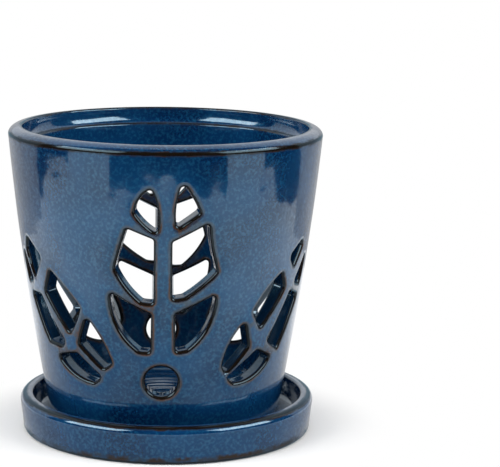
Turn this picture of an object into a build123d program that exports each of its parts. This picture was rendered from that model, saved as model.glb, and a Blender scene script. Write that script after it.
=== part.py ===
from build123d import *
from math import cos, hypot, radians, sin, sqrt
import os

# An orchid pot with leaf-shaped openings in its wall, standing in a shallow saucer.
# Sizes are in millimetres and angles in degrees. The front of the pot faces -Y, and an azimuth runs
# from the front towards +X. The origin is on the pot's axis, at the level that the saucer stands on.

# Pot wall, from the foot up to the lip
rim_diameter = 133.0
foot_diameter = 98.0
pot_height = 125.5
wall_bow = 1.5
wall_thickness = 6.0
inner_bow = 1.9

# Pot lip: a rolled top, a short collar inside it and a ledge below the collar
lip_width = 6.0
lip_crest_width = 1.5
lip_outer_drop = 3.5
lip_inner_drop = 2.6
collar_depth = 6.8
ledge_width = 3.0
ledge_round = 1.0

# Pot floor, drain hole and foot ring
floor_thickness = 7.0
floor_round = 8.0
drain_diameter = 16.0
foot_round = 2.0
foot_ring_width = 7.0
foot_recess = 2.0
foot_ring_slope = 1.0

# Openings: three leaves with a round hole under them, on the front and on the back
leaf_top_margin = 8.7
upright_heel_height = 40.0
side_heel_height = 29.0
upright_azimuth = -0.5
side_azimuth = 28.5
side_lean = 48.0
opening_corner_radius = 1.3
round_hole_diameter = 13.4
round_hole_height = 26.9
round_hole_azimuth = -1.3
cut_overrun = 8.0

# The fan on the back is cut by hand as well, so it does not lie quite as the front one does
back_upright_azimuth = 181.5
back_upright_drop = 7.3
back_sides_azimuth = 178.0
back_sides_drop = 2.8
back_hole_drop = 2.0
back_hole_azimuth = 181.8

# Saucer: its lip goes round the pot with some room, and its sides draw in towards the floor and the base
saucer_room = 7.1
saucer_height = 15.9
saucer_floor = 5.5
saucer_lip_width = 5.6
saucer_crest_width = 0.9
saucer_outer_drop = 5.3
saucer_inner_drop = 1.4
saucer_side_taper = 1.8
saucer_inner_taper = 1.2
saucer_floor_round = 3.0
saucer_base_round = 1.6
saucer_ring_width = 12.0
saucer_recess = 1.0
saucer_ring_slope = 1.0

# The pot stands a little off the middle of its saucer
saucer_offset_x = 1.3
saucer_offset_y = -0.4

# Each opening is a ring of corners. A corner is how far it lies across the leaf, to the right, and up the
# leaf from its heel, both as shares of the leaf's length. The third number bows the side that follows the
# corner out of the opening, as a share of that side.
upright_leaf_shares = [
    [(-0.076, 0.228, 0.00), (-0.078, -0.002, 0.00), (-0.140, 0.000, 0.13), (-0.316, 0.352, -0.02)],
    [(0.072, 0.228, 0.00), (0.308, 0.340, 0.12), (0.140, 0.012, 0.00), (0.075, 0.000, 0.00)],
    [(-0.062, 0.676, 0.00), (-0.061, 0.297, 0.00), (-0.130, 0.302, 0.06), (-0.287, 0.500, 0.01),
     (-0.218, 0.736, 0.00)],
    [(0.054, 0.662, 0.00), (0.264, 0.768, 0.00), (0.270, 0.680, -0.02), (0.314, 0.482, 0.03),
     (0.120, 0.332, 0.00), (0.054, 0.323, 0.00)],
    [(-0.078, 0.972, 0.09), (-0.043, 0.714, 0.06), (-0.170, 0.835, 0.12)],
    [(0.108, 1.008, 0.03), (0.208, 0.836, 0.00), (0.076, 0.744, 0.07)],
]
left_leaf_shares = [
    [(0.030, 0.010, 0.00), (0.092, -0.002, 0.06), (0.178, 0.298, 0.00), (0.016, 0.226, 0.00)],
    [(-0.022, -0.016, 0.00), (-0.085, -0.004, 0.09), (-0.187, 0.290, 0.02), (-0.045, 0.196, 0.00)],
    [(0.010, 0.320, 0.04), (0.187, 0.372, 0.04), (0.168, 0.684, 0.00), (0.030, 0.634, 0.00)],
    [(-0.070, 0.316, 0.00), (-0.105, 0.308, 0.00), (-0.189, 0.414, 0.02), (-0.134, 0.752, 0.00),
     (-0.036, 0.650, 0.00)],
    [(-0.018, 0.772, 0.00), (0.150, 0.802, 0.04), (0.105, 0.995, 0.00), (0.035, 0.975, 0.00)],
    [(-0.115, 0.830, 0.05), (-0.018, 1.035, 0.00), (-0.028, 0.775, 0.00)],
]
right_leaf_shares = [
    [(-0.004, 0.004, 0.00), (-0.052, 0.012, 0.10), (-0.146, 0.294, 0.00), (-0.012, 0.214, 0.00)],
    [(0.018, -0.013, 0.00), (0.083, -0.005, 0.12), (0.188, 0.295, 0.00), (0.062, 0.241, 0.00)],
    [(-0.031, 0.350, 0.00), (-0.148, 0.386, 0.08), (-0.140, 0.702, 0.00), (-0.050, 0.662, 0.02)],
    [(0.087, 0.344, 0.00), (0.213, 0.377, 0.00), (0.152, 0.758, 0.00), (0.034, 0.694, 0.00)],
    [(-0.064, 0.812, 0.00), (-0.148, 0.825, 0.04), (-0.082, 1.036, 0.00)],
    [(0.032, 0.762, 0.00), (0.119, 0.822, 0.04), (0.036, 1.038, 0.00)],
]

rim_radius = rim_diameter / 2
foot_radius = foot_diameter / 2
lip_base = pot_height - lip_outer_drop
crest_radius = rim_radius - lip_width + lip_crest_width
collar_radius = rim_radius - lip_width
ledge_height = pot_height - collar_depth
ledge_radius = collar_radius - ledge_width
leaf_length = ledge_height - upright_heel_height - leaf_top_margin
drain_radius = drain_diameter / 2


def bowed_radius(start, end, bow, height):
    """Radius, at a height, of a wall that bows out of the line between two (radius, height) points."""
    run = end[0] - start[0]
    rise = end[1] - start[1]
    chord = hypot(run, rise)
    bend = (chord**2 / 4 + bow**2) / (2 * bow)
    centre_radius = (start[0] + end[0]) / 2 - (bend - bow) * rise / chord
    centre_height = (start[1] + end[1]) / 2 + (bend - bow) * run / chord
    return centre_radius + sqrt(bend**2 - (height - centre_height) ** 2)


def bowed_wall(start, end, bow):
    """The same wall as an arc of the profile."""
    middle_height = (start[1] + end[1]) / 2
    middle = (bowed_radius(start, end, bow, middle_height), middle_height)
    return ThreePointArc(start, middle, end)


def rounded_corner(start, end, corner):
    """Rounds off a corner, from start to end, with two arcs that run smoothly into each other."""
    start, end, corner = Vector(*start), Vector(*end), Vector(*corner)
    across = (end - start).length
    before = (corner - start).length
    after = (end - corner).length
    # The arcs meet in the middle of the circle that touches all sides of the corner's triangle
    joint = (corner * across + start * after + end * before) / (across + before + after)
    first = TangentArc(start, joint, tangent=corner - start)
    return first + TangentArc(joint, end, tangent=end - start)


wall_foot = (foot_radius, foot_round)
wall_top = (rim_radius, lip_base)
inner_foot_height = floor_thickness + floor_round
inner_foot = (
    bowed_radius(wall_foot, wall_top, wall_bow, inner_foot_height) - wall_thickness,
    inner_foot_height,
)
inner_top = (ledge_radius, ledge_height - ledge_round)


def wall_radius(height):
    """Outer radius of the pot at a height above its foot."""
    return bowed_radius(wall_foot, wall_top, wall_bow, height)


def wall_lean(height):
    """How far the wall's radius grows for each millimetre of height there."""
    step = wall_thickness / 10
    return (wall_radius(height + step) - wall_radius(height - step)) / (2 * step)


def wall_point(azimuth, height):
    radius = wall_radius(height)
    turn = radians(azimuth)
    return Vector(radius * sin(turn), -radius * cos(turn), height)


def wall_plane(azimuth, height):
    """A plane that lies against the wall, with X along it, Y up it and Z straight out of it."""
    turn = radians(azimuth)
    outward = Vector(sin(turn), -cos(turn), -wall_lean(height))
    return Plane(
        origin=wall_point(azimuth, height),
        x_dir=(cos(turn), sin(turn), 0),
        z_dir=outward,
    )


def cut_through(plane, outline):
    """A solid that carries a flat outline through the wall, square to it."""
    depth = wall_thickness + ledge_width + cut_overrun
    outer = extrude(plane * outline, amount=cut_overrun)
    inner = extrude(plane * outline, amount=-depth)
    return outer + inner


def bowed_side(start, end, bow_share, middle):
    """A side of an opening: straight, or an arc that bows away from the opening's middle."""
    if bow_share == 0:
        return Line(start, end)
    half_way = (start + end) / 2
    square = Vector(end.Y - start.Y, start.X - end.X)
    if square.dot(half_way - middle) < 0:
        square = -square
    return ThreePointArc(start, half_way + square * bow_share, end)


def leaf_opening(corner_shares, azimuth, heel_height, lean):
    """One opening of a leaf that starts at its heel and leans to the right by an angle."""
    tilt = radians(lean)
    places = []
    for across_share, up_share, _ in corner_shares:
        along_wall = leaf_length * (across_share * cos(tilt) + up_share * sin(tilt))
        height = heel_height + leaf_length * (up_share * cos(tilt) - across_share * sin(tilt))
        along_wall += radians(azimuth) * wall_radius(heel_height)
        places.append((along_wall / wall_radius(height), height))
    middle_turn = sum(turn for turn, _ in places) / len(places)
    middle_height = sum(height for _, height in places) / len(places)
    plane = wall_plane(middle_turn / radians(1), middle_height)
    corners = []
    for turn, height in places:
        flat = plane.to_local_coords(wall_point(turn / radians(1), height))
        corners.append(Vector(flat.X, flat.Y))
    middle = sum(corners, Vector()) / len(corners)
    sides = []
    for index, (_, _, bow_share) in enumerate(corner_shares):
        following = corners[(index + 1) % len(corners)]
        sides.append(bowed_side(corners[index], following, bow_share, middle))
    outline = make_face(sides)
    outline = fillet(outline.vertices(), opening_corner_radius)
    return cut_through(plane, outline)


def round_hole(azimuth, height):
    return cut_through(wall_plane(azimuth, height), Circle(round_hole_diameter / 2))


def leaf_openings(leaf_shares, azimuth, heel_height, lean, turn):
    """All openings of a leaf, turned round the pot by an angle."""
    cuts = [leaf_opening(corner_shares, azimuth, heel_height, lean) for corner_shares in leaf_shares]
    return [Rot(0, 0, turn) * cut for cut in cuts]


def fan_openings(upright_turn, upright_drop, sides_turn, sides_drop):
    """The openings of a fan: an upright leaf, and one on each side that leans away from it."""
    upright_height = upright_heel_height - upright_drop
    side_height = side_heel_height - sides_drop
    upright = leaf_openings(upright_leaf_shares, upright_azimuth, upright_height, 0, upright_turn)
    left = leaf_openings(left_leaf_shares, -side_azimuth, side_height, -side_lean, sides_turn)
    right = leaf_openings(right_leaf_shares, side_azimuth, side_height, side_lean, sides_turn)
    return upright + left + right


def pot_body():
    """The turned pot, before its wall is pierced."""
    foot_inner = foot_radius - foot_ring_width
    recess_radius = foot_inner - foot_ring_slope
    floor_end = inner_foot[0] - floor_round
    lip_top = (crest_radius, pot_height)
    collar_top = (collar_radius, pot_height - lip_inner_drop)
    outline = [
        Line((foot_inner, 0), (foot_radius - foot_round, 0)),
        rounded_corner((foot_radius - foot_round, 0), wall_foot, (foot_radius, 0)),
        bowed_wall(wall_foot, wall_top, wall_bow),
        rounded_corner(wall_top, lip_top, (rim_radius, pot_height)),
        rounded_corner(lip_top, collar_top, (collar_radius, pot_height)),
        Line(collar_top, (collar_radius, ledge_height)),
        Line((collar_radius, ledge_height), (ledge_radius + ledge_round, ledge_height)),
        rounded_corner(
            (ledge_radius + ledge_round, ledge_height), inner_top, (ledge_radius, ledge_height)
        ),
        bowed_wall(inner_foot, inner_top, inner_bow),
        rounded_corner(
            inner_foot, (floor_end, floor_thickness), (inner_foot[0], floor_thickness)
        ),
        Line((floor_end, floor_thickness), (drain_radius, floor_thickness)),
        Line((drain_radius, floor_thickness), (drain_radius, foot_recess)),
        Line((drain_radius, foot_recess), (recess_radius, foot_recess)),
        Line((recess_radius, foot_recess), (foot_inner, 0)),
    ]
    return revolve(Plane.XZ * make_face(outline), Axis.Z)


def make_pot():
    pot = pot_body()
    cuts = fan_openings(0, 0, 0, 0)
    cuts += fan_openings(back_upright_azimuth, back_upright_drop, back_sides_azimuth, back_sides_drop)
    cuts.append(round_hole(round_hole_azimuth, round_hole_height))
    cuts.append(round_hole(back_hole_azimuth, round_hole_height - back_hole_drop))
    pot = pot - cuts
    return Pos(0, 0, saucer_floor) * pot


def make_saucer():
    inner_radius = wall_radius(saucer_height - saucer_floor) + saucer_room
    radius = inner_radius + saucer_lip_width
    base_radius = radius - saucer_side_taper
    crest = inner_radius + saucer_crest_width
    floor_radius = inner_radius - saucer_inner_taper
    ring_radius = base_radius - saucer_ring_width
    recess_radius = ring_radius - saucer_ring_slope
    side_foot = (base_radius, saucer_base_round)
    side_top = (radius, saucer_height - saucer_outer_drop)
    inner_lip = (inner_radius, saucer_height - saucer_inner_drop)
    inner_side_foot = (floor_radius, saucer_floor + saucer_floor_round)
    floor_end = (floor_radius - saucer_floor_round, saucer_floor)
    outline = [
        Line((ring_radius, 0), (base_radius - saucer_base_round, 0)),
        rounded_corner((base_radius - saucer_base_round, 0), side_foot, (base_radius, 0)),
        Line(side_foot, side_top),
        rounded_corner(side_top, (crest, saucer_height), (radius, saucer_height)),
        rounded_corner((crest, saucer_height), inner_lip, (inner_radius, saucer_height)),
        Line(inner_lip, inner_side_foot),
        rounded_corner(inner_side_foot, floor_end, (floor_radius, saucer_floor)),
        Line(floor_end, (0, saucer_floor)),
        Line((0, saucer_floor), (0, saucer_recess)),
        Line((0, saucer_recess), (recess_radius, saucer_recess)),
        Line((recess_radius, saucer_recess), (ring_radius, 0)),
    ]
    saucer = revolve(Plane.XZ * make_face(outline), Axis.Z)
    return Pos(saucer_offset_x, saucer_offset_y, 0) * saucer


os.makedirs("parts", exist_ok=True)
export_step(make_pot(), "parts/pot.step")
export_step(make_saucer(), "parts/saucer.step")
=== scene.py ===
from math import cos, hypot, pi, radians, sin

import bmesh
import bpy
import numpy as np
from mathutils import Matrix, Vector, noise
from mathutils.geometry import delaunay_2d_cdt


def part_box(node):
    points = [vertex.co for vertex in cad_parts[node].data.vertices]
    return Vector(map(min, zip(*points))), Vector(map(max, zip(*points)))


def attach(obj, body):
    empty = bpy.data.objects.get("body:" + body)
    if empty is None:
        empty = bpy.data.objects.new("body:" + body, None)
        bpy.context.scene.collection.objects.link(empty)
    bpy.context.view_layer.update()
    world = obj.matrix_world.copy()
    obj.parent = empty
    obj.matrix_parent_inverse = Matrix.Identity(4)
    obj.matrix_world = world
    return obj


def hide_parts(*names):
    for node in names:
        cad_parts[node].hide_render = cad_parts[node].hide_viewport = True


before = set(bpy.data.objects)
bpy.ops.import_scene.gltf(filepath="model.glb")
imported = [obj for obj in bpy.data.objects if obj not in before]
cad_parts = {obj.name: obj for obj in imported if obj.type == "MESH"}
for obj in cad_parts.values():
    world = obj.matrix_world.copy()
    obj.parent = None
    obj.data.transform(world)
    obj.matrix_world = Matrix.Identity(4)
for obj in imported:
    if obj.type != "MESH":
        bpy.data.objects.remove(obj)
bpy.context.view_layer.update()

# A glazed orchid pot with leaf-shaped openings, standing in its saucer. Lengths are in metres. The front
# faces -Y, and an azimuth runs from the front towards +X. Heights of the pot are above its own foot.
mm = 0.001

# Camera, as it stood for the photograph. Its lens is in millimetres.
camera_distance = 0.8728
camera_height = 0.2468
camera_yaw = radians(2.38)
camera_pitch = radians(10.53)
camera_roll = radians(0.88)
camera_lens = 149.4

# Pot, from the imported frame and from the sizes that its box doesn't give
pot_low, pot_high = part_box("pot")
stand_height = pot_low.z
pot_height = pot_high.z - pot_low.z
rim_radius = (pot_high.x - pot_low.x) / 2
foot_radius = 49.0 * mm
foot_round = 2.0 * mm
foot_ring_width = 7.0 * mm
foot_recess = 2.0 * mm
foot_ring_slope = 1.0 * mm
wall_thickness = 6.0 * mm
wall_bow = 1.5 * mm
inner_bow = 1.9 * mm
floor_thickness = 7.0 * mm
floor_round = 8.0 * mm
drain_radius = 8.0 * mm
drain_round = 1.0 * mm
lip_width = 6.0 * mm
lip_outer_drop = 3.5 * mm
collar_depth = 6.8 * mm
ledge_width = 3.0 * mm
ledge_round = 1.0 * mm

# The finished lip is crisp on its inner edge, and the glaze fills the corner between collar and ledge
crisp_drop = 1.0 * mm
crisp_width = 0.9 * mm
ledge_edge = 1.1 * mm
ledge_cove = 5.4 * mm

# The wall's pierced band outside and inside, how soft its openings' edges are and in how many steps, and
# where a cut has points between its edges
outer_band = (13.0 * mm, 113.0 * mm)
inner_band = (16.0 * mm, 115.0 * mm)
outer_softness = 1.7 * mm
inner_softness = 1.0 * mm
edge_steps = 4
cut_shares = (0.2, 0.4, 0.6, 0.8)

# A face of the band lines an opening if it looks neither outwards nor inwards by this much
wall_facing = 0.6

# An opening's outline: its longest side, how often its corners are softened, how far its edge may widen, at
# most and as a share of the way to the next opening, and what keeps a sharp corner from being thrown out
outline_side = 1.0 * mm
corner_softening = 3
most_room = 9.0 * mm
room_share = 0.42
least_reach = 0.6

# How many points a turned row has, and how far rows lie apart. In the pierced band, how far from an opening
# two rings of points lie, the gaps in them and elsewhere, and the weld, the last three in millimetres.
columns = 200
row_step = 2.0 * mm
ring_margins = (0.8 * mm, 1.9 * mm)
ring_gap = 0.6
band_gap = 1.1
band_weld = 0.0001

# The edge distance, in millimetres, of points that no edge is near
far_away = 99.0

# How far a hand-thrown wall strays from true, with a finer stray on that, and the rings that throwing leaves
# on the floor inside, some higher than others
wall_sway = 0.10 * mm
wall_sway_length = 22 * mm
fine_sway = 0.4
fine_sway_rate = 2.3
throwing_ring = 4.4 * mm
throwing_height = 0.5 * mm
throwing_step = 0.55 * mm
ring_swell = 0.35
ring_swell_change = 0.15
ring_swell_rate = 9

# Saucer, by the names of its tree's inputs
saucer_low, saucer_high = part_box("saucer")
saucer_sizes = {
    "Centre X": (saucer_low.x + saucer_high.x) / 2,
    "Centre Y": (saucer_low.y + saucer_high.y) / 2,
    "Radius": (saucer_high.x - saucer_low.x) / 2,
    "Height": saucer_high.z - saucer_low.z,
    "Floor Height": stand_height,
    "Lip Width": 5.6 * mm,
    "Side Taper": 1.8 * mm,
    "Inner Taper": 1.2 * mm,
    "Ring Width": 12.0 * mm,
    "Recess": 1.0 * mm,
    "Ring Slope": 1.0 * mm,
    "Outer Round": 3.1 * mm,
    "Inner Round": 1.1 * mm,
    "Floor Round": 3.0 * mm,
    "Base Round": 1.6 * mm,
    "Sway": 0.12 * mm,
    "Sway Length": 26 * mm,
}
saucer_columns = 240
saucer_round_points = 9
saucer_weld = 0.005 * mm

# Where the glaze breaks on each turned edge, as a step in radius and height from the edge's sharp corner
lip_outer_arris = (-0.15 * mm, -2.9 * mm)
lip_inner_arris = (0.3 * mm, 0.3 * mm)
ledge_arris = (0.4 * mm, 0.3 * mm)
saucer_lip_arris = (-2.2 * mm, -0.5 * mm)
saucer_base_arris = (-0.4 * mm, 0.4 * mm)


def at_azimuth(azimuth, radius, height):
    return (radius * sin(azimuth), -radius * cos(azimuth), height + stand_height)


def bowed_radius(start, end, bow, height):
    """Radius, at a height, of a wall that bows out of the line between two (radius, height) points."""
    run = end[0] - start[0]
    rise = end[1] - start[1]
    chord = hypot(run, rise)
    bend = (chord**2 / 4 + bow**2) / (2 * bow)
    centre_radius = (start[0] + end[0]) / 2 - (bend - bow) * rise / chord
    centre_height = (start[1] + end[1]) / 2 + (bend - bow) * run / chord
    return centre_radius + np.sqrt(bend**2 - (height - centre_height) ** 2)


wall_foot = (foot_radius, foot_round)
wall_top = (rim_radius, pot_height - lip_outer_drop)
collar_radius = rim_radius - lip_width
ledge_height = pot_height - collar_depth
ledge_radius = collar_radius - ledge_width
inner_foot_height = floor_thickness + floor_round
inner_foot = (
    float(bowed_radius(wall_foot, wall_top, wall_bow, inner_foot_height)) - wall_thickness,
    inner_foot_height,
)
inner_top = (ledge_radius, ledge_height - ledge_round)


def outer_wall(height):
    return bowed_radius(wall_foot, wall_top, wall_bow, height)


def inner_wall(height):
    return bowed_radius(inner_foot, inner_top, inner_bow, height)


def rounded(start, corner, end, steps):
    """Points that round off a corner as a quarter of an ellipse, without the first."""
    start, corner, end = Vector(start), Vector(corner), Vector(end)
    turns = [pi / 2 * step / steps for step in range(1, steps + 1)]
    return [
        tuple(corner + (start - corner) * (1 - sin(turn)) + (end - corner) * (1 - cos(turn)))
        for turn in turns
    ]


def evenly(low, high, steps):
    """Evenly spaced numbers, with both ends."""
    return [low + (high - low) * step / steps for step in range(steps + 1)]


def straight(start, end):
    """Evenly spaced points of a straight run, without the first."""
    steps = max(1, round(hypot(end[0] - start[0], end[1] - start[1]) / row_step))
    return [tuple(Vector(start).lerp(Vector(end), step / steps)) for step in range(1, steps + 1)]


def thrown_floor(start, end):
    """Points of the floor inside, from the drain hole out, with its throwing rings, without the first."""
    run = end[0] - start[0]
    steps = round(run / throwing_step)
    rings = max(1, round(run / throwing_ring))
    points = []
    for step in range(1, steps + 1):
        share = step / steps
        swell = ring_swell + ring_swell_change * cos(ring_swell_rate * share)
        swell *= 1 - cos(2 * pi * rings * share)
        points.append((start[0] + run * share, floor_thickness + throwing_height * swell))
    return points


def climbing(wall, low, high):
    """Points of a wall between two heights, without the first. The wall may be climbed or descended."""
    steps = max(1, round(abs(high - low) / row_step))
    return [(float(wall(height)), height) for height in evenly(low, high, steps)[1:]]


def lower_profile():
    """From the pierced band's lower edge outside, under the foot and over the floor, to the same inside."""
    foot_end = (foot_radius - foot_round, 0)
    ring_inner = (foot_radius - foot_ring_width, 0)
    recess_outer = (ring_inner[0] - foot_ring_slope, foot_recess)
    recess_inner = (drain_radius, foot_recess)
    drain_top = (drain_radius, floor_thickness - drain_round)
    floor_start = (drain_radius + drain_round, floor_thickness)
    floor_end = (inner_foot[0] - floor_round, floor_thickness)
    profile = [(float(outer_wall(outer_band[0])), outer_band[0])]
    profile += climbing(outer_wall, outer_band[0], foot_round)
    profile += rounded(profile[-1], (foot_radius, 0), foot_end, steps=6)
    profile += straight(foot_end, ring_inner)
    profile += straight(ring_inner, recess_outer)
    profile += straight(recess_outer, recess_inner)
    profile += straight(recess_inner, drain_top)
    profile += rounded(profile[-1], (drain_radius, floor_thickness), floor_start, steps=4)
    profile += thrown_floor(profile[-1], floor_end)
    profile += rounded(floor_end, (inner_foot[0], floor_thickness), inner_foot, steps=12)
    return profile + climbing(inner_wall, inner_foot[1], inner_band[0])


def upper_profile():
    """From the pierced band's upper edge inside, over the ledge, collar and lip, to the same outside."""
    ledge_start = (ledge_radius + ledge_edge, ledge_height)
    collar_foot = (collar_radius, ledge_height + ledge_cove)
    collar_top = (collar_radius, pot_height - crisp_drop)
    crest = (collar_radius + crisp_width, pot_height)
    profile = [(float(inner_wall(inner_band[1])), inner_band[1])]
    profile += climbing(inner_wall, inner_band[1], inner_top[1])
    profile += rounded(inner_top, (ledge_radius, ledge_height), ledge_start, steps=5)
    profile += rounded(profile[-1], (collar_radius, ledge_height), collar_foot, steps=10)
    profile += straight(collar_foot, collar_top)
    profile += rounded(collar_top, (collar_radius, pot_height), crest, steps=5)
    profile += rounded(crest, (rim_radius, pot_height), wall_top, steps=12)
    return profile + climbing(outer_wall, wall_top[1], outer_band[1])


def faces_outward(face):
    """How far a face of the pot looks away from its axis: 1 straight out, -1 straight in."""
    centre = face.calc_center_median()
    away = Vector((centre.x, centre.y, 0)).normalized()
    return face.normal.dot(away)


def chained(edges):
    """The points of a closed chain of edges, in order."""
    links = {}
    for edge in edges:
        for vertex in edge.verts:
            links.setdefault(vertex, []).append(edge.other_vert(vertex))
    start = next(iter(links))
    ring = [start]
    before, here = None, start
    while True:
        ahead = [vertex for vertex in links[here] if vertex is not before]
        before, here = here, ahead[0]
        if here is start:
            return [vertex.co.copy() for vertex in ring]
        ring.append(here)


def evened(outline, longest):
    """An outline with its long sides divided and its crowded points thinned."""
    shortest = longest / 6
    kept = [outline[0]]
    for point in outline[1:]:
        if np.linalg.norm(point - kept[-1]) > shortest:
            kept.append(point)
    result = []
    for index, point in enumerate(kept):
        after = kept[(index + 1) % len(kept)]
        parts = max(1, int(np.ceil(np.linalg.norm(after - point) / longest)))
        result += [point + (after - point) * part / parts for part in range(parts)]
    return np.array(result)


class Cut:
    """One opening: a flat outline that runs square through the wall."""

    def __init__(self, sides, rim):
        """Takes the faces that line the opening, all along the cut, and the points of its outer rim."""
        spread = np.zeros((3, 3))
        for face in sides:
            normal = np.array(face.normal)
            spread += face.calc_area() * np.outer(normal, normal)
        self.out = np.linalg.eigh(spread)[1][:, 0]
        points = np.array(rim)
        self.middle = points.mean(axis=0)
        if self.out[:2] @ self.middle[:2] < 0:
            self.out = -self.out
        self.along = np.cross([0.0, 0.0, 1.0], self.out)
        self.along /= np.linalg.norm(self.along)
        self.up = np.cross(self.out, self.along)
        flat = np.stack([(points - self.middle) @ self.along, (points - self.middle) @ self.up], axis=1)
        x, y = flat.T
        if np.sum(x * np.roll(y, -1) - np.roll(x, -1) * y) < 0:
            flat = flat[::-1]
        outline = evened(flat, outline_side)
        for _ in range(corner_softening):
            outline = (np.roll(outline, 1, axis=0) + 2 * outline + np.roll(outline, -1, axis=0)) / 4
        self.outline = outline
        self.room = np.full((len(outline), 1), most_room)

    def find_room(self, others):
        """Measures, at each point of the outline, how far it may widen before it meets a neighbour."""
        for wall in (outer_wall, inner_wall):
            mine = self.on_wall(self.outline, wall)
            theirs = np.concatenate([other.on_wall(other.outline, wall) for other in others])
            apart = np.linalg.norm(mine[:, None] - theirs[None], axis=2).min(axis=1)
            self.room = np.minimum(self.room, room_share * apart[:, None])

    def widened(self, margin):
        """The outline, moved outwards all round by a margin, or less where a neighbour is near."""
        sides = np.roll(self.outline, -1, axis=0) - self.outline
        normals = np.stack([sides[:, 1], -sides[:, 0]], axis=1)
        normals /= np.linalg.norm(normals, axis=1)[:, None]
        corner = normals + np.roll(normals, 1, axis=0)
        reach = np.sum(corner * corner, axis=1)[:, None] / 2
        return self.outline + np.minimum(margin, self.room) * corner / np.maximum(reach, least_reach)

    def on_wall(self, flat, wall):
        """Points of a flat outline carried along the cut to where they meet a wall, closer with each try."""

        def miss(places):
            return np.hypot(places[:, 0], places[:, 1]) - wall(places[:, 2] - stand_height)

        points = self.middle + flat[:, :1] * self.along + flat[:, 1:] * self.up
        probe = 0.01 * mm
        tries = 6
        for _ in range(tries):
            short = miss(points)
            step = -short * probe / (miss(points + probe * self.out) - short)
            points = points + step[:, None] * self.out
        return points

    def soft_edge(self, wall, softness, way):
        """Rings of points from a wall over its soft edge into the cut, which goes inwards if way is -1 and
        outwards if it is 1. Each comes with its edge distance in millimetres, below zero in the cut."""
        rings = []
        for step in range(edge_steps + 1):
            turn = pi / 2 * step / edge_steps
            surface = self.on_wall(self.widened(softness * (1 - sin(turn))), wall)
            ring = surface + way * softness * (1 - cos(turn)) * self.out
            rings.append((ring, softness * (pi / 4 - turn) / mm))
        return rings

    def rings(self):
        """Rings of points from the outer wall over its soft edge, through the cut, to the inner wall."""
        outer = self.soft_edge(outer_wall, outer_softness, -1)
        inner = self.soft_edge(inner_wall, inner_softness, 1)
        start, start_edge = outer[-1]
        end, end_edge = inner[-1]
        depth = np.linalg.norm(end - start, axis=1).mean() / mm
        middle = []
        for share in cut_shares:
            nearest = min(share, 1 - share) * depth
            middle.append((start + (end - start) * share, min(start_edge, end_edge) - nearest))
        return outer + middle + inner[::-1]


def opening_cuts(pot_node):
    """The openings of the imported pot, found from the faces that line them, always in the same order."""
    mesh = bmesh.new()
    mesh.from_mesh(pot_node.data)
    weld = 0.001 * mm
    bmesh.ops.remove_doubles(mesh, verts=mesh.verts, dist=weld)
    bmesh.ops.dissolve_degenerate(mesh, edges=mesh.edges, dist=weld)
    lowest = stand_height + outer_band[0]
    highest = stand_height + inner_band[1]
    lining = {}
    for face in mesh.faces:
        if abs(faces_outward(face)) < wall_facing and lowest < face.calc_center_median().z < highest:
            lining[face] = True
    cuts = []
    while lining:
        reached = [lining.popitem()[0]]
        for face in reached:
            for edge in face.edges:
                for other in edge.link_faces:
                    if other in lining:
                        del lining[other]
                        reached.append(other)
        rim = []
        for face in reached:
            for edge in face.edges:
                if any(faces_outward(other) > wall_facing for other in edge.link_faces):
                    rim.append(edge)
        cuts.append(Cut(reached, chained(rim)))
    mesh.free()
    for cut in cuts:
        cut.find_room([other for other in cuts if other is not cut])
    return cuts


class Clay:
    """Points and faces of a piece while it is built, with each point's edge distance."""

    def __init__(self):
        self.points = []
        self.edge = []
        self.faces = []

    def add(self, point, edge=far_away):
        self.points.append(tuple(point))
        self.edge.append(edge)
        return len(self.points) - 1

    def add_ring(self, points, edge):
        return [self.add(point, edge) for point in points]

    def turn(self, profile):
        """Turns a profile round the axis and returns its rows of points."""
        turns = [2 * pi * column / columns for column in range(columns)]
        rows = [[self.add(at_azimuth(turn, *place)) for turn in turns] for place in profile]
        for row, after in zip(rows, rows[1:]):
            self.bridge(row, after)
        return rows

    def bridge(self, ring, after):
        for index in range(len(ring)):
            following = (index + 1) % len(ring)
            self.faces.append((ring[index], ring[following], after[following], after[index]))


def inside(points, outline):
    """Which points lie inside a closed outline."""
    x, y = points[:, :1], points[:, 1:]
    start, end = outline, np.roll(outline, -1, axis=0)
    crosses = (start[:, 1] > y) != (end[:, 1] > y)
    slope = (end[:, 0] - start[:, 0]) / np.where(end[:, 1] == start[:, 1], 1, end[:, 1] - start[:, 1])
    return np.sum(crosses & (x < start[:, 0] + (y - start[:, 1]) * slope), axis=1) % 2 == 1


def spread_out(candidates, fixed, gap):
    """The candidates that keep a gap from the fixed points and from each other."""
    cells = {}

    def cell(point):
        return int(point[0] // gap), int(point[1] // gap)

    for point in fixed:
        cells.setdefault(cell(point), []).append(point)
    kept = []
    for point in candidates:
        column, row = cell(point)
        near = [p for i in (-1, 0, 1) for j in (-1, 0, 1) for p in cells.get((column + i, row + j), ())]
        if all(hypot(point[0] - p[0], point[1] - p[1]) >= gap for p in near):
            cells.setdefault((column, row), []).append(point)
            kept.append(point)
    return kept


def unrolled(points):
    """Azimuth, from 0 to a full turn, and height of points of the pot."""
    azimuth = np.arctan2(points[:, 0], -points[:, 1]) % (2 * pi)
    return np.stack([azimuth, points[:, 2] - stand_height], axis=1)


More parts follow.
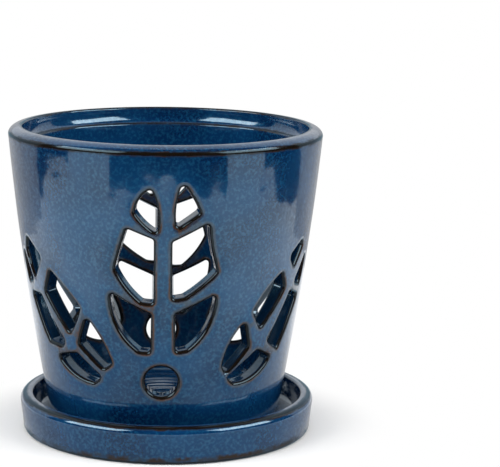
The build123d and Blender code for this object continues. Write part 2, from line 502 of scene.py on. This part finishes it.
def pierced_band(clay, cuts, rims, wall, band, lower_row, upper_row, softness):
    """The wall between two turned rows, with the openings' rims left open. It is laid out flat, in
    millimetres, in two halves that meet where no opening is."""
    scale = float(wall(sum(band) / 2)) / mm
    heights = evenly(*band, round((band[1] - band[0]) / row_step))
    quarter = columns // 4
    seams = {}
    for column in (quarter, 3 * quarter):
        azimuth = 2 * pi * column / columns
        seams[column] = [clay.add(at_azimuth(azimuth, float(wall(h)), h)) for h in heights[1:-1]]
    for first in (quarter, 3 * quarter):
        span = range(first, first + 2 * quarter + 1)
        start = 2 * pi * first / columns
        flat, known = [], []

        def lay(azimuth, height, index):
            flat.append((scale * ((azimuth - start) % (2 * pi)), height / mm))
            known.append(index)
            return len(flat) - 1

        for column in span:
            lay(2 * pi * column / columns, band[0], lower_row[column % columns])
            lay(2 * pi * column / columns, band[1], upper_row[column % columns])
        last = 2 * quarter * 2 * pi / columns
        for column, place in ((first, 0), ((first + 2 * quarter) % columns, last)):
            for height, index in zip(heights[1:-1], seams[column]):
                flat.append((scale * place, height / mm))
                known.append(index)
        sides, outlines, near = [], [], []
        for cut, rim in zip(cuts, rims):
            middle = unrolled(cut.middle[None])[0]
            if not 0 < (middle[0] - start) % (2 * pi) < last:
                continue
            places = unrolled(np.array([clay.points[index] for index in rim]))
            laid = [lay(azimuth, height, index) for (azimuth, height), index in zip(places, rim)]
            sides += [(laid[i - 1], laid[i]) for i in range(len(laid))]
            outlines.append(np.array([flat[i] for i in laid]))
            for margin in ring_margins:
                around = unrolled(cut.on_wall(cut.widened(softness + margin), wall))
                near += [(scale * ((a - start) % (2 * pi)), h / mm) for a, h in around]
        grid = [
            (scale * 2 * pi * (column - first) / columns, height / mm)
            for column in span[1:-1]
            for height in heights[1:-1]
        ]
        free = spread_out(near, flat, ring_gap)
        free += spread_out(grid, flat + free, band_gap)
        free = np.array(free)
        blocked = np.zeros(len(free), bool)
        for outline in outlines:
            blocked |= inside(free, outline)
        low, high = band[0] / mm, band[1] / mm
        blocked |= (free[:, 1] <= low) | (free[:, 1] >= high)
        for place, height in free[~blocked]:
            height *= mm
            azimuth = start + place / scale
            index = clay.add(at_azimuth(azimuth, float(wall(height)), height))
            lay(azimuth, height, index)
        laid, _, triangles, sources, _, _ = delaunay_2d_cdt(
            [Vector(point) for point in flat], sides, [], 0, band_weld, True
        )
        places = np.array([tuple(point) for point in laid])
        corners = np.array([tuple(face) for face in triangles])
        centres = places[corners].mean(axis=1)
        open_space = np.zeros(len(centres), bool)
        for outline in outlines:
            open_space |= inside(centres, outline)
        for face in corners[~open_space]:
            clay.faces.append(tuple(known[sources[index][0]] for index in face))


def sway(point):
    """How far the pot strays outwards at a point."""
    place = Vector(point) / wall_sway_length
    return wall_sway * (noise.noise(place) + fine_sway * noise.noise(place * fine_sway_rate))


def shifted(corner, step, lift=0.0):
    """A (radius, height) corner moved by a step, and lifted."""
    return (corner[0] + step[0], corner[1] + step[1] + lift)


def edge_distance(points, arrises, centre):
    """Distance in millimetres, in the turned profile, from the nearest of some (radius, height) rings."""
    offset = points[:, :2] - centre
    radius = np.hypot(offset[:, 0], offset[:, 1])
    nearest = np.full(len(points), far_away)
    for ring_radius, ring_height in arrises:
        away = np.hypot(radius - ring_radius, points[:, 2] - ring_height) / mm
        nearest = np.minimum(nearest, away)
    return nearest


def placed(name, data):
    made = bpy.data.objects.new(name, data)
    bpy.context.scene.collection.objects.link(made)
    return made


def finished(name, points, faces, attributes, material):
    """A smooth closed mesh object with its number attributes and its material."""
    mesh = bpy.data.meshes.new(name)
    mesh.from_pydata(points, [], faces)
    shape = bmesh.new()
    shape.from_mesh(mesh)
    bmesh.ops.recalc_face_normals(shape, faces=shape.faces)
    shape.to_mesh(mesh)
    shape.free()
    for label, values in attributes.items():
        mesh.attributes.new(label, "FLOAT", "POINT").data.foreach_set("value", values)
    mesh.shade_smooth()
    mesh.materials.append(material)
    return placed(name, mesh)


def make_pot(material):
    """The pot: two turned parts, the soft edges of its openings, and the pierced band between them."""
    clay = Clay()
    cuts = opening_cuts(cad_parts["pot"])
    lower = clay.turn(lower_profile())
    upper = clay.turn(upper_profile())
    outer_rims, inner_rims = [], []
    for cut in cuts:
        rings = [clay.add_ring(points, edge) for points, edge in cut.rings()]
        for ring, after in zip(rings, rings[1:]):
            clay.bridge(ring, after)
        outer_rims.append(rings[0])
        inner_rims.append(rings[-1])
    pierced_band(clay, cuts, outer_rims, outer_wall, outer_band, lower[0], upper[-1], outer_softness)
    pierced_band(clay, cuts, inner_rims, inner_wall, inner_band, lower[-1], upper[0], inner_softness)

    points = np.array(clay.points)
    edges = np.array(clay.edge)
    rim_points = [cut.on_wall(cut.outline, wall) for cut in cuts for wall in (outer_wall, inner_wall)]
    rim_points = np.concatenate(rim_points)
    batches = 60
    for batch in np.array_split(np.flatnonzero(edges == far_away), batches):
        away = np.linalg.norm(points[batch][:, None] - rim_points[None], axis=2).min(axis=1)
        edges[batch] = away / mm
    arrises = [
        shifted((rim_radius, pot_height), lip_outer_arris, stand_height),
        shifted((collar_radius, pot_height), lip_inner_arris, stand_height),
        shifted((ledge_radius, ledge_height), ledge_arris, stand_height),
    ]
    turned = edge_distance(points, arrises, np.zeros(2))
    away = np.hypot(points[:, 0], points[:, 1])
    strays = np.array([sway(point) for point in clay.points])
    points[:, :2] *= (1 + strays / away)[:, None]
    attributes = {"cut_edge": edges, "turned_edge": turned}
    return finished("glazed_pot", points, clay.faces, attributes, material)


# Node trees


def give(tree, socket, value):
    """Links a node's input to a socket, or sets it to a value."""
    if isinstance(value, bpy.types.NodeSocket):
        tree.links.new(value, socket)
    else:
        socket.default_value = value


def node(tree, kind, inputs=None, **settings):
    """A node with its settings, and with its inputs either set or linked."""
    made = tree.nodes.new(kind)
    for name, value in settings.items():
        setattr(made, name, value)
    for name, value in (inputs or {}).items():
        give(tree, made.inputs[name], value)
    return made


def maths(tree, operation, *values):
    """The result of a Math node, whose values are numbers or sockets."""
    made = node(tree, "ShaderNodeMath", operation=operation)
    for socket, value in zip(made.inputs, values):
        give(tree, socket, value)
    return made.outputs[0]


def plus(tree, first, second):
    return maths(tree, "ADD", first, second)


def less(tree, first, second):
    return maths(tree, "SUBTRACT", first, second)


def times(tree, first, second):
    return maths(tree, "MULTIPLY", first, second)


def noise_at(tree, place, scale, detail):
    """The value of a noise texture, about 0.5 on average."""
    inputs = {"Vector": place, "Scale": scale, "Detail": detail}
    return node(tree, "ShaderNodeTexNoise", inputs).outputs[0]


def split(tree, vector):
    return node(tree, "ShaderNodeSeparateXYZ", {"Vector": vector}).outputs


def joined(tree, x, y, z):
    return node(tree, "ShaderNodeCombineXYZ", {"X": x, "Y": y, "Z": z}).outputs[0]


def object_place(tree):
    return node(tree, "ShaderNodeTexCoord").outputs["Object"]


# Kinds of a group's sockets
number = "NodeSocketFloat"
tint = "NodeSocketColor"


def new_group(name, kind, inputs, outputs):
    """A node group with named sockets, its input node's sockets and its output node's."""
    tree = bpy.data.node_groups.new(name, kind)
    for label, socket_type, default in inputs:
        socket = tree.interface.new_socket(label, in_out="INPUT", socket_type=socket_type)
        if default is not None:
            socket.default_value = default
    for label, socket_type in outputs:
        tree.interface.new_socket(label, in_out="OUTPUT", socket_type=socket_type)
    entry = tree.nodes.new("NodeGroupInput")
    leave = tree.nodes.new("NodeGroupOutput")
    return tree, entry.outputs, leave.inputs


def turned_saucer_tree():
    """A saucer as a turned profile: a line of corners, each rounded off, swung round the axis."""
    inputs = [(name, number, value) for name, value in saucer_sizes.items()]
    inputs += [("Segments", "NodeSocketInt", saucer_columns), ("Material", "NodeSocketMaterial", None)]
    outputs = [("Saucer", "NodeSocketGeometry")]
    tree, size, leave = new_group("turned_saucer", "GeometryNodeTree", inputs, outputs)
    tree.is_modifier = True

    radius = size["Radius"]
    inner = less(tree, radius, size["Lip Width"])
    base = less(tree, radius, size["Side Taper"])
    floor_radius = less(tree, inner, size["Inner Taper"])
    ring_inner = less(tree, base, size["Ring Width"])
    recess_radius = less(tree, ring_inner, size["Ring Slope"])
    corners = [
        (0.0, size["Floor Height"], 0.0),
        (floor_radius, size["Floor Height"], size["Floor Round"]),
        (inner, size["Height"], size["Inner Round"]),
        (radius, size["Height"], size["Outer Round"]),
        (base, 0.0, size["Base Round"]),
        (ring_inner, 0.0, 0.0),
        (recess_radius, size["Recess"], 0.0),
        (0.0, size["Recess"], 0.0),
    ]
    index = node(tree, "GeometryNodeInputIndex").outputs[0]
    places = node(tree, "GeometryNodeIndexSwitch", {"Index": index}, data_type="VECTOR")
    rounds = node(tree, "GeometryNodeIndexSwitch", {"Index": index}, data_type="FLOAT")
    for switch in (places, rounds):
        while len(switch.index_switch_items) < len(corners):
            switch.index_switch_items.new()
    for place, (across, height, fillet) in enumerate(corners):
        give(tree, places.inputs[str(place)], joined(tree, across, 0.0, height))
        give(tree, rounds.inputs[str(place)], fillet)
    line = node(tree, "GeometryNodeMeshLine", {"Count": len(corners)})
    curve = node(tree, "GeometryNodeMeshToCurve", {"Mesh": line.outputs[0]})
    bent = {"Geometry": curve.outputs[0], "Position": places.outputs[0]}
    curve = node(tree, "GeometryNodeSetPosition", bent)
    fillets = {"Curve": curve.outputs[0], "Radius": rounds.outputs[0], "Count": saucer_round_points}
    profile = node(tree, "GeometryNodeFilletCurve", fillets, mode="POLY").outputs[0]

    length = node(tree, "GeometryNodeAttributeDomainSize", {"Geometry": profile}, component="CURVE")
    count = length.outputs["Point Count"]
    last = less(tree, count, 1.0)
    sheet = {"Size X": 1.0, "Size Y": 1.0, "Vertices X": size["Segments"], "Vertices Y": count}
    grid = node(tree, "GeometryNodeMeshGrid", sheet)
    position = node(tree, "GeometryNodeInputPosition").outputs[0]
    flat = split(tree, position)
    turn = times(tree, plus(tree, flat["X"], 0.5), 2 * pi)
    along = plus(tree, times(tree, flat["Y"], last), maths(tree, "DIVIDE", last, 2.0))
    sample = {"Geometry": profile, "Value": position, "Index": maths(tree, "ROUND", along)}
    sample = node(tree, "GeometryNodeSampleIndex", sample, data_type="FLOAT_VECTOR")
    place = split(tree, sample.outputs[0])
    sine = maths(tree, "SINE", turn)
    cosine = maths(tree, "COSINE", turn)
    true_place = joined(tree, times(tree, place["X"], sine), times(tree, place["X"], cosine), place["Z"])

    sway_scale = maths(tree, "DIVIDE", 1.0, size["Sway Length"])
    stray = less(tree, noise_at(tree, true_place, sway_scale, detail=1.0), 0.5)
    stray = times(tree, stray, size["Sway"])
    edge_share = maths(tree, "DIVIDE", place["X"], radius)
    reach = plus(tree, place["X"], times(tree, times(tree, stray, 2.0), edge_share))
    x = plus(tree, times(tree, reach, sine), size["Centre X"])
    y = plus(tree, times(tree, reach, cosine), size["Centre Y"])
    swayed = {"Geometry": grid.outputs[0], "Position": joined(tree, x, y, place["Z"])}
    turned = node(tree, "GeometryNodeSetPosition", swayed)
    welded = {"Geometry": turned.outputs[0], "Distance": saucer_weld}
    closed = node(tree, "GeometryNodeMergeByDistance", welded)
    plain = node(tree, "GeometryNodeRealizeInstances", {"Geometry": closed.outputs[0]})
    glazed = {"Geometry": plain.outputs[0], "Material": size["Material"]}
    give(tree, leave["Saucer"], node(tree, "GeometryNodeSetMaterial", glazed).outputs[0])
    return tree


def make_saucer(material):
    """The saucer, turned by its own tree and made a plain mesh."""
    tree = turned_saucer_tree()
    blank = placed("saucer_turning", bpy.data.meshes.new("saucer_turning"))
    turning = blank.modifiers.new("turning", "NODES")
    turning.node_group = tree
    sockets = {item.name: item.identifier for item in tree.interface.items_tree if item.in_out == "INPUT"}
    for name, value in saucer_sizes.items():
        turning[sockets[name]] = value
    turning[sockets["Material"]] = material
    ready = blank.evaluated_get(bpy.context.evaluated_depsgraph_get())
    mesh = bpy.data.meshes.new_from_object(ready)
    bpy.data.objects.remove(blank)
    points = np.array([tuple(vertex.co) for vertex in mesh.vertices])
    faces = [tuple(face.vertices) for face in mesh.polygons]
    bpy.data.meshes.remove(mesh)
    centre = np.array([saucer_sizes["Centre X"], saucer_sizes["Centre Y"]])
    radius, height = saucer_sizes["Radius"], saucer_sizes["Height"]
    base = radius - saucer_sizes["Side Taper"]
    arrises = [shifted((radius, height), saucer_lip_arris), shifted((base, 0.0), saucer_base_arris)]
    attributes = {"turned_edge": edge_distance(points, arrises, centre)}
    return finished("glazed_saucer", points, faces, attributes, material)


# Glaze

# How much clear coat is lost where the glaze runs thin, where it pools and between its grains, and how
# metallic thin glaze looks
thin_coat_loss = 0.82
pool_coat_loss = 0.55
grain_coat_loss = 0.3
thin_metallic = 0.5

# The fully dark share of an edge's line, where the painted shade in an opening's throat is full and ends, in
# millimetres, and the colour of that painted shade
solid_line = 0.55
throat_shade_run = (-1.2, -0.3)
throat_shade_colour = (0.001, 0.012, 0.035, 1)

# The spans of noise over which the fringe comes in, the pool rises from its least, the glaze thins and grains
# stand out
fringe_span = (0.46, 0.62)
pool_span = (0.3, 0.65)
least_pool = 0.45
thinning_span = (0.3, 0.7)
grain_span = (0.42, 0.72)


def mixed(tree, amount, first, second):
    """A mix of two colours, by the numbers of the Mix node's sockets for colours."""
    return node(tree, "ShaderNodeMix", {0: amount, 6: first, 7: second}, data_type="RGBA").outputs[2]


def ramp(tree, value, low, high, at_low=0.0, at_high=1.0):
    """A smooth step from one number to another as a value goes from low to high."""
    inputs = {"Value": value, "From Min": low, "From Max": high, "To Min": at_low, "To Max": at_high}
    return node(tree, "ShaderNodeMapRange", inputs, interpolation_type="SMOOTHSTEP").outputs[0]


def fading(tree, value, low, high):
    return ramp(tree, value, low, high, 1.0, 0.0)


def glaze_break_group():
    """Where glaze runs thin on an edge: a dark line along it, a rusty fringe in places, and a dull halo.
    Also painted shade that darkens an opening's throat, and a patchy pool round the edge where the glaze lies
    thick."""
    widths = ("Line Width", "Fringe Width", "Halo Width", "Pool Width")
    inputs = [(label, number, None) for label in ("Distance", *widths, "Raggedness")]
    inputs += [("Ragged Scale", number, 400.0), ("Patch Scale", number, 110.0)]
    outputs = [(label, number) for label in ("Line", "Fringe", "Halo", "Throat Shade", "Pool")]
    tree, given, leave = new_group("glaze_break", "ShaderNodeTree", inputs, outputs)
    place = object_place(tree)
    ragged = less(tree, noise_at(tree, place, given["Ragged Scale"], detail=2.0), 0.5)
    distance = plus(tree, given["Distance"], times(tree, ragged, given["Raggedness"]))
    outside = maths(tree, "GREATER_THAN", distance, 0.0)
    patches = noise_at(tree, place, given["Patch Scale"], detail=2.0)
    line_width = given["Line Width"]

    solid = times(tree, line_width, solid_line)
    line = fading(tree, maths(tree, "ABSOLUTE", distance), solid, line_width)
    past_line = times(tree, outside, less(tree, 1.0, line))
    fringe = fading(tree, distance, line_width, plus(tree, line_width, given["Fringe Width"]))
    fringe = times(tree, fringe, ramp(tree, patches, *fringe_span))
    halo = fading(tree, distance, line_width, given["Halo Width"])
    pool = fading(tree, distance, line_width, given["Pool Width"])
    pool = times(tree, pool, ramp(tree, patches, *pool_span, least_pool, 1.0))
    give(tree, leave["Line"], line)
    give(tree, leave["Fringe"], times(tree, fringe, past_line))
    give(tree, leave["Halo"], times(tree, halo, outside))
    # Painted shade: an opening's cut walls are darkened, fully a little way into the cut
    give(tree, leave["Throat Shade"], fading(tree, distance, *throat_shade_run))
    give(tree, leave["Pool"], times(tree, pool, outside))
    return tree


def glaze_depth_group():
    """The colour of a glaze that lies thick and thin, with a fine pale grain in it."""
    inputs = [
        ("Thick Color", tint, (0.0008, 0.015, 0.060, 1)),
        ("Thin Color", tint, (0.0025, 0.034, 0.108, 1)),
        ("Grain Color", tint, (0.008, 0.080, 0.17, 1)),
        ("Mottle Scale", number, 38.0),
        ("Grain Scale", number, 800.0),
        ("Grain Amount", number, 0.55),
    ]
    outputs = [("Color", tint), ("Grain", number)]
    tree, given, leave = new_group("glaze_depth", "ShaderNodeTree", inputs, outputs)
    place = object_place(tree)
    thinness = ramp(tree, noise_at(tree, place, given["Mottle Scale"], detail=1.0), *thinning_span)
    body = mixed(tree, thinness, given["Thick Color"], given["Thin Color"])
    grains = ramp(tree, noise_at(tree, place, given["Grain Scale"], detail=2.0), *grain_span)
    shown = times(tree, grains, given["Grain Amount"])
    give(tree, leave["Color"], mixed(tree, shown, body, given["Grain Color"]))
    give(tree, leave["Grain"], grains)
    return tree


def glaze_skin_group():
    """Height of a glaze's skin: slow waves where it ran, and a fine orange peel."""
    inputs = [
        ("Wave Scale", number, 70.0),
        ("Wave Height", number, 1.25),
        ("Peel Scale", number, 900.0),
        ("Peel Height", number, 0.025),
    ]
    tree, given, leave = new_group("glaze_skin", "ShaderNodeTree", inputs, [("Height", number)])
    place = object_place(tree)
    waves = times(tree, noise_at(tree, place, given["Wave Scale"], detail=1.5), given["Wave Height"])
    peel = times(tree, noise_at(tree, place, given["Peel Scale"], detail=1.0), given["Peel Height"])
    give(tree, leave["Height"], plus(tree, waves, peel))
    return tree


def emptied(block, output):
    """The tree of a material or world with its output node alone, and that node's Surface input."""
    block.use_nodes = True
    tree = block.node_tree
    tree.nodes.clear()
    return tree, node(tree, output).inputs["Surface"]


def glaze(name, groups, breaks):
    """A glossy blue glaze that breaks to brown on edges. Each break names the attribute that holds its edge
    distance, and gives its sizes, its colours and how strong its halo is."""
    material = bpy.data.materials.new(name)
    tree, leave = emptied(material, "ShaderNodeOutputMaterial")
    depth = node(tree, "ShaderNodeGroup", node_tree=groups["depth"]).outputs
    colour = depth["Color"]
    thin = pooled = 0.0
    for edge_break in breaks:
        distance = node(tree, "ShaderNodeAttribute", attribute_name=edge_break["attribute"])
        inputs = {"Distance": distance.outputs["Fac"], **edge_break["sizes"]}
        edge = node(tree, "ShaderNodeGroup", inputs, node_tree=groups["break"]).outputs
        colours = edge_break["colours"]
        halo = times(tree, edge["Halo"], edge_break["halo_strength"])
        colour = mixed(tree, halo, colour, colours["Halo"])
        # The opening's throat is darkened with painted shade
        colour = mixed(tree, edge["Throat Shade"], colour, throat_shade_colour)
        for part in ("Line", "Fringe"):
            colour = mixed(tree, edge[part], colour, colours[part])
        thin = maths(tree, "MAXIMUM", maths(tree, "MAXIMUM", edge["Line"], edge["Fringe"]), thin)
        pooled = maths(tree, "MAXIMUM", edge["Pool"], pooled)
    between_grains = less(tree, 1.0, depth["Grain"])
    losses = ((thin, thin_coat_loss), (pooled, pool_coat_loss), (between_grains, grain_coat_loss))
    coat = 1.0
    for place, loss in losses:
        coat = times(tree, less(tree, 1.0, times(tree, place, loss)), coat)
    skin = node(tree, "ShaderNodeGroup", node_tree=groups["skin"]).outputs
    bump = {"Height": skin["Height"], "Strength": 1.0, "Distance": 0.22 * mm}
    normal = node(tree, "ShaderNodeBump", bump).outputs[0]
    inputs = {
        "Base Color": colour,
        "Metallic": times(tree, thin, thin_metallic),
        "Roughness": 0.14,
        "IOR": 1.6,
        "Specular Tint": (0.2, 0.7, 1.0, 1),
        "Coat Weight": coat,
        "Coat Roughness": 0.065,
        "Coat IOR": 1.65,
        "Normal": normal,
        "Coat Normal": normal,
    }
    give(tree, leave, node(tree, "ShaderNodeBsdfPrincipled", inputs).outputs[0])
    return material


# Studio: a round sheet of white paper in a white room. The dark, grey and pale parts of the room and a
# painted shadow on the paper only show as reflections.
paper_radius = 0.33
paper_fade = (0.063, 0.1)
ambient = 0.35

# How bright the room's parts are, and how bright the painted shadow on the paper is near the object and far
# from it, with the distances between which it changes and the radius at which it starts
dark_strength = 0.006
grey_strength = 0.5
pale_strength = 0.72
paper_shadow_strengths = (0.48, 1.08)
paper_shadow_reach = (0.07, 0.21)
paper_shadow_start = 0.02

# The room: its dome, and how far its floor lies under the paper and the painted shadow above it. Its dark
# parts stand between two azimuths in degrees, and their wandering floors come this near the object. The gaps
# between them have no floor. The back is grey up to an elevation, and pale above it.
room_radius = 2.5
room_drop = 2 * mm
room_lift = 0.2 * mm
dark_parts = {"dark_front": (-40, 42, 0.36), "dark_left": (-103, -71, 0.43), "dark_right": (72, 112, 0.395)}
dark_gaps = {"dark_over_left": (-71, -40), "dark_over_right": (42, 72)}
dark_wander = 0.05
back_span = (112, 257)
back_reach = 0.33
grey_top = 12

# The waves of a wandering edge: how many go round, where each starts, and how high it is
wander_waves = ((9, 2.3, 1.0), (23, 0.4, 0.6))

# How far softboxes stand from the point they look at, and its height
softbox_distance = 1.3
softbox_aim = 0.07


def set_camera():
    lens = bpy.data.cameras.new("camera")
    lens.lens = camera_lens
    lens.clip_start = 0.01
    lens.clip_end = 20
    camera = placed("camera", lens)
    camera.matrix_world = (
        Matrix.Translation((0, -camera_distance, camera_height))
        @ Matrix.Rotation(-camera_yaw, 4, "Z")
        @ Matrix.Rotation(pi / 2 - camera_pitch, 4, "X")
        @ Matrix.Rotation(camera_roll, 4, "Z")
    )
    bpy.context.scene.camera = camera


def turned_sheet(name, profile, start, end, material, wander=0.0):
    """A (radius, height) profile swept round the axis between two azimuths. Its first edge wanders in and out
    by about a share of its radius."""
    steps = round((end - start) / radians(2))
    points, faces = [], []
    for azimuth in evenly(start, end, steps):
        waves = [high * sin(count * azimuth + phase) for count, phase, high in wander_waves]
        stray = 1 + wander * sum(waves)
        for place, (radius, height) in enumerate(profile):
            reach = radius if place else radius * stray
            points.append((reach * sin(azimuth), -reach * cos(azimuth), height))
    width = len(profile)
    for step in range(steps):
        for across in range(width - 1):
            corner = step * width + across
            faces.append((corner, corner + 1, corner + width + 1, corner + width))
    mesh = bpy.data.meshes.new(name)
    mesh.from_pydata(points, [], faces)
    mesh.materials.append(material)
    piece = placed(name, mesh)
    return piece


def seen_directly(tree):
    """1 for rays from the camera, from a mirror or through glass, and 0 for light that is gathered."""
    light = node(tree, "ShaderNodeLightPath").outputs
    mirrored = maths(tree, "MAXIMUM", light["Is Glossy Ray"], light["Is Transmission Ray"])
    return maths(tree, "MAXIMUM", light["Is Camera Ray"], mirrored)


def leaving(tree, reach, at_start=0.0, at_end=1.0):
    """A smooth step from one number to another, between two distances from the middle of the object."""
    away = node(tree, "ShaderNodeVectorMath", {0: object_place(tree)}, operation="LENGTH")
    return ramp(tree, away.outputs["Value"], *reach, at_start, at_end)


def paper_material():
    """White paper that runs into the white background as it leaves the object."""
    material = bpy.data.materials.new("paper")
    tree, leave = emptied(material, "ShaderNodeOutputMaterial")
    fade = leaving(tree, paper_fade)
    paper = node(tree, "ShaderNodeBsdfDiffuse", {"Color": (0.88, 0.88, 0.88, 1)})
    white = node(tree, "ShaderNodeEmission", {"Color": (1, 1, 1, 1), "Strength": 1.0})
    share = times(tree, fade, seen_directly(tree))
    shown = node(tree, "ShaderNodeMixShader", {0: share, 1: paper.outputs[0], 2: white.outputs[0]})
    give(tree, leave, shown.outputs[0])
    return material


def plain_light(name, strength, far_strength=None):
    """A surface of one even brightness, or of one that changes away from the object."""
    material = bpy.data.materials.new(name)
    tree, leave = emptied(material, "ShaderNodeOutputMaterial")
    # A strength that rises away from the object paints the object's shadow round it
    if far_strength is not None:
        strength = leaving(tree, paper_shadow_reach, strength, far_strength)
    glow = node(tree, "ShaderNodeEmission", {"Color": (0.95, 0.96, 0.98, 1), "Strength": strength})
    give(tree, leave, glow.outputs[0])
    return material


def set_world():
    """A white world that lights the object by its ambient strength alone."""
    world = bpy.data.worlds.new("studio")
    bpy.context.scene.world = world
    tree, leave = emptied(world, "ShaderNodeOutputWorld")
    inputs = {"Value": seen_directly(tree), "To Min": ambient, "To Max": 1.0}
    strength = node(tree, "ShaderNodeMapRange", inputs).outputs[0]
    sky = node(tree, "ShaderNodeBackground", {"Color": (1, 1, 1, 1), "Strength": strength})
    give(tree, leave, sky.outputs[0])


def softbox(name, azimuth, elevation, width, height, power, mirrored=True):
    """A soft lamp that looks at the pot, and may show as a reflection. Angles are in degrees."""
    lamp = bpy.data.lights.new(name, "AREA")
    lamp.shape = "RECTANGLE"
    lamp.size = width
    lamp.size_y = height
    lamp.energy = power
    azimuth, elevation = radians(azimuth), radians(elevation)
    aim = Vector((0, 0, softbox_aim))
    away = Vector((sin(azimuth) * cos(elevation), -cos(azimuth) * cos(elevation), sin(elevation)))
    holder = placed(name, lamp)
    holder.location = aim + away * softbox_distance
    holder.rotation_euler = away.to_track_quat("Z", "Y").to_euler()
    holder.visible_glossy = mirrored


def room_part(name, start, end, profile, material, wander=0.0):
    """A part of the room between two azimuths, in degrees, that only shows as a reflection."""
    piece = turned_sheet(name, profile, radians(start), radians(end), material, wander)
    piece.visible_camera = False
    piece.visible_diffuse = False
    piece.visible_shadow = False


def dome(low, high):
    """The profile of the room's dome between two elevations, in degrees."""
    angles = [radians(elevation) for elevation in evenly(low, high, steps=8)]
    return [(room_radius * cos(angle), room_radius * sin(angle) - room_drop) for angle in angles]


def set_studio():
    bpy.context.scene.view_settings.view_transform = "Standard"
    set_world()
    turned_sheet("paper", [(0, 0), (paper_radius, 0)], 0, 2 * pi, paper_material())
    dark = plain_light("dark_room", dark_strength)
    grey = plain_light("grey_room", grey_strength)
    pale = plain_light("pale_room", pale_strength)
    # A glowing sheet that shows only as a reflection, darker near the object: a painted shadow on the paper
    paper_shadow = plain_light("paper_shadow_reflection", *paper_shadow_strengths)
    for name, (start, end, reach) in dark_parts.items():
        room_part(name, start, end, [(reach, -room_drop)] + dome(0, 90), dark, dark_wander)
    for name, (start, end) in dark_gaps.items():
        room_part(name, start, end, dome(0, 90), dark)
    room_part("grey_back", *back_span, [(back_reach, -room_drop)] + dome(0, grey_top), grey)
    room_part("pale_over_back", *back_span, dome(grey_top, 90), pale)
    room_part("paper_shadow_reflection", 0, 360, [(paper_shadow_start, room_lift), (paper_radius, room_lift)], paper_shadow)
    softbox("left_softbox", azimuth=-62, elevation=32, width=1.1, height=0.6, power=12)
    softbox("right_softbox", azimuth=66, elevation=32, width=1.1, height=0.6, power=12)
    softbox("top_softbox", azimuth=-20, elevation=78, width=1.2, height=1.2, power=8, mirrored=False)


# How the glaze breaks at the openings and on turned edges. Sizes are in millimetres.
cut_break = {
    "attribute": "cut_edge",
    "sizes": {
        "Line Width": 1.0,
        "Fringe Width": 0.5,
        "Halo Width": 2.8,
        "Pool Width": 8.5,
        "Raggedness": 0.8,
    },
    "colours": {
        "Line": (0.018, 0.012, 0.008, 1),
        "Fringe": (0.095, 0.040, 0.016, 1),
        "Halo": (0.046, 0.040, 0.038, 1),
    },
    "halo_strength": 0.7,
}
turned_break = {
    "attribute": "turned_edge",
    "sizes": {
        "Line Width": 0.9,
        "Fringe Width": 0.4,
        "Halo Width": 1.7,
        "Pool Width": 1.8,
        "Raggedness": 0.6,
    },
    "colours": {
        "Line": (0.016, 0.010, 0.006, 1),
        "Fringe": (0.045, 0.024, 0.012, 1),
        "Halo": (0.02, 0.025, 0.035, 1),
    },
    "halo_strength": 0.5,
}
saucer_break = {**turned_break, "sizes": {**turned_break["sizes"], "Line Width": 1.25}}

set_camera()
set_studio()
groups = {"break": glaze_break_group(), "depth": glaze_depth_group(), "skin": glaze_skin_group()}

pot = make_pot(glaze("pot_glaze", groups, [cut_break, turned_break]))
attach(pot, "pot")
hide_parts("pot")

saucer = make_saucer(glaze("saucer_glaze", groups, [saucer_break]))
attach(saucer, "saucer")
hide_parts("saucer")
